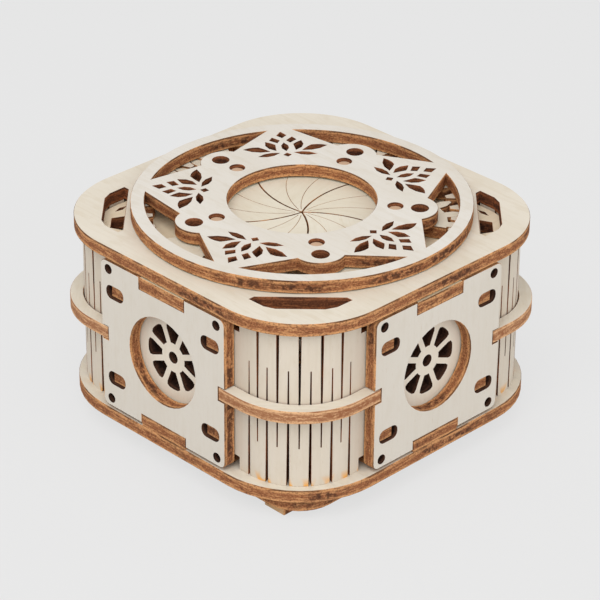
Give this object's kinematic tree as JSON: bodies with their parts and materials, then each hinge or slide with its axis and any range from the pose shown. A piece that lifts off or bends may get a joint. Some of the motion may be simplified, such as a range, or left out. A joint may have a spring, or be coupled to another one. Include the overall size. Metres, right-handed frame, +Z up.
{
  "type": "iris lid keepsake box",
  "caption": "Rounded-square plywood keepsake box with slit bent corners, round side windows and a geared iris lid that opens when the pierced star ring on top is turned.",
  "frame": {"origin": "middle of the box, on the surface that its feet stand on", "axes": "+Z up through the middle of the iris; +X and +Y square to the side panels"},
  "size_m": [0.085, 0.085, 0.053],
  "materials": {
    "wall_ply": "matte laser-cut plywood, pale faces, scorched brown edges",
    "inner_ply": "matte laser-cut plywood, mostly scorched edges",
    "petal_ply": "matte laser-cut plywood with engraved brown lines",
    "pin_wood": "matte round wooden pin"
  },
  "bodies": {
    "box": {"base_plate": "wall_ply", "under_plate": "wall_ply", "foot_1": "inner_ply", "foot_2": "inner_ply", "foot_3": "inner_ply", "foot_4": "inner_ply", "lower_frame": "wall_ply", "upper_frame": "wall_ply", "side_panel_1": "wall_ply", "side_panel_2": "wall_ply", "side_panel_3": "wall_ply", "side_panel_4": "wall_ply", "window_rosette_1": "wall_ply", "window_rosette_2": "wall_ply", "window_rosette_3": "wall_ply", "window_rosette_4": "wall_ply", "bent_corner_1": "wall_ply", "bent_corner_2": "wall_ply", "bent_corner_3": "wall_ply", "bent_corner_4": "wall_ply", "corner_band_1": "wall_ply", "corner_band_2": "wall_ply", "corner_band_3": "wall_ply", "corner_band_4": "wall_ply", "lower_former_1": "inner_ply", "lower_former_2": "inner_ply", "lower_former_3": "inner_ply", "lower_former_4": "inner_ply", "upper_former_1": "inner_ply", "upper_former_2": "inner_ply", "upper_former_3": "inner_ply", "upper_former_4": "inner_ply", "lid_plate": "wall_ply"},
    "turning_ring": {"star_ring": "wall_ply", "spacer_ring": "wall_ply", "retainer_ring": "wall_ply", "petal_pin_1": "pin_wood", "petal_pin_2": "pin_wood", "petal_pin_3": "pin_wood", "petal_pin_4": "pin_wood", "petal_pin_5": "pin_wood"},
    "petal_1": {"petal_1": "petal_ply"},
    "petal_2": {"petal_2": "petal_ply"},
    "petal_3": {"petal_3": "petal_ply"},
    "petal_4": {"petal_4": "petal_ply"},
    "petal_5": {"petal_5": "petal_ply"}
  },
  "joints": [
    {"name": "ring_turn", "type": "hinge", "parent": "box", "child": "turning_ring", "pos_m": [0, 0, 0.05], "axis": [0, 0, 1], "range_deg": [0, 22]},
    {"name": "petal_1_swing", "type": "hinge", "parent": "turning_ring", "child": "petal_1", "pos_m": [0.01699, 0.01234, 0.048], "axis": [0, 0, 1], "range_deg": [-55, 0]},
    {"name": "petal_2_swing", "type": "hinge", "parent": "turning_ring", "child": "petal_2", "pos_m": [-0.00649, 0.01997, 0.048], "axis": [0, 0, 1], "range_deg": [-55, 0]},
    {"name": "petal_3_swing", "type": "hinge", "parent": "turning_ring", "child": "petal_3", "pos_m": [-0.021, 0, 0.048], "axis": [0, 0, 1], "range_deg": [-55, 0]},
    {"name": "petal_4_swing", "type": "hinge", "parent": "turning_ring", "child": "petal_4", "pos_m": [-0.00649, -0.01997, 0.048], "axis": [0, 0, 1], "range_deg": [-55, 0]},
    {"name": "petal_5_swing", "type": "hinge", "parent": "turning_ring", "child": "petal_5", "pos_m": [0.01699, -0.01234, 0.048], "axis": [0, 0, 1], "range_deg": [-55, 0]}
  ],
  "couplings": [
    {"joint": "petal_1_swing", "follows": "ring_turn", "ratio": -2.5},
    {"joint": "petal_2_swing", "follows": "ring_turn", "ratio": -2.5},
    {"joint": "petal_3_swing", "follows": "ring_turn", "ratio": -2.5},
    {"joint": "petal_4_swing", "follows": "ring_turn", "ratio": -2.5},
    {"joint": "petal_5_swing", "follows": "ring_turn", "ratio": -2.5}
  ]
}
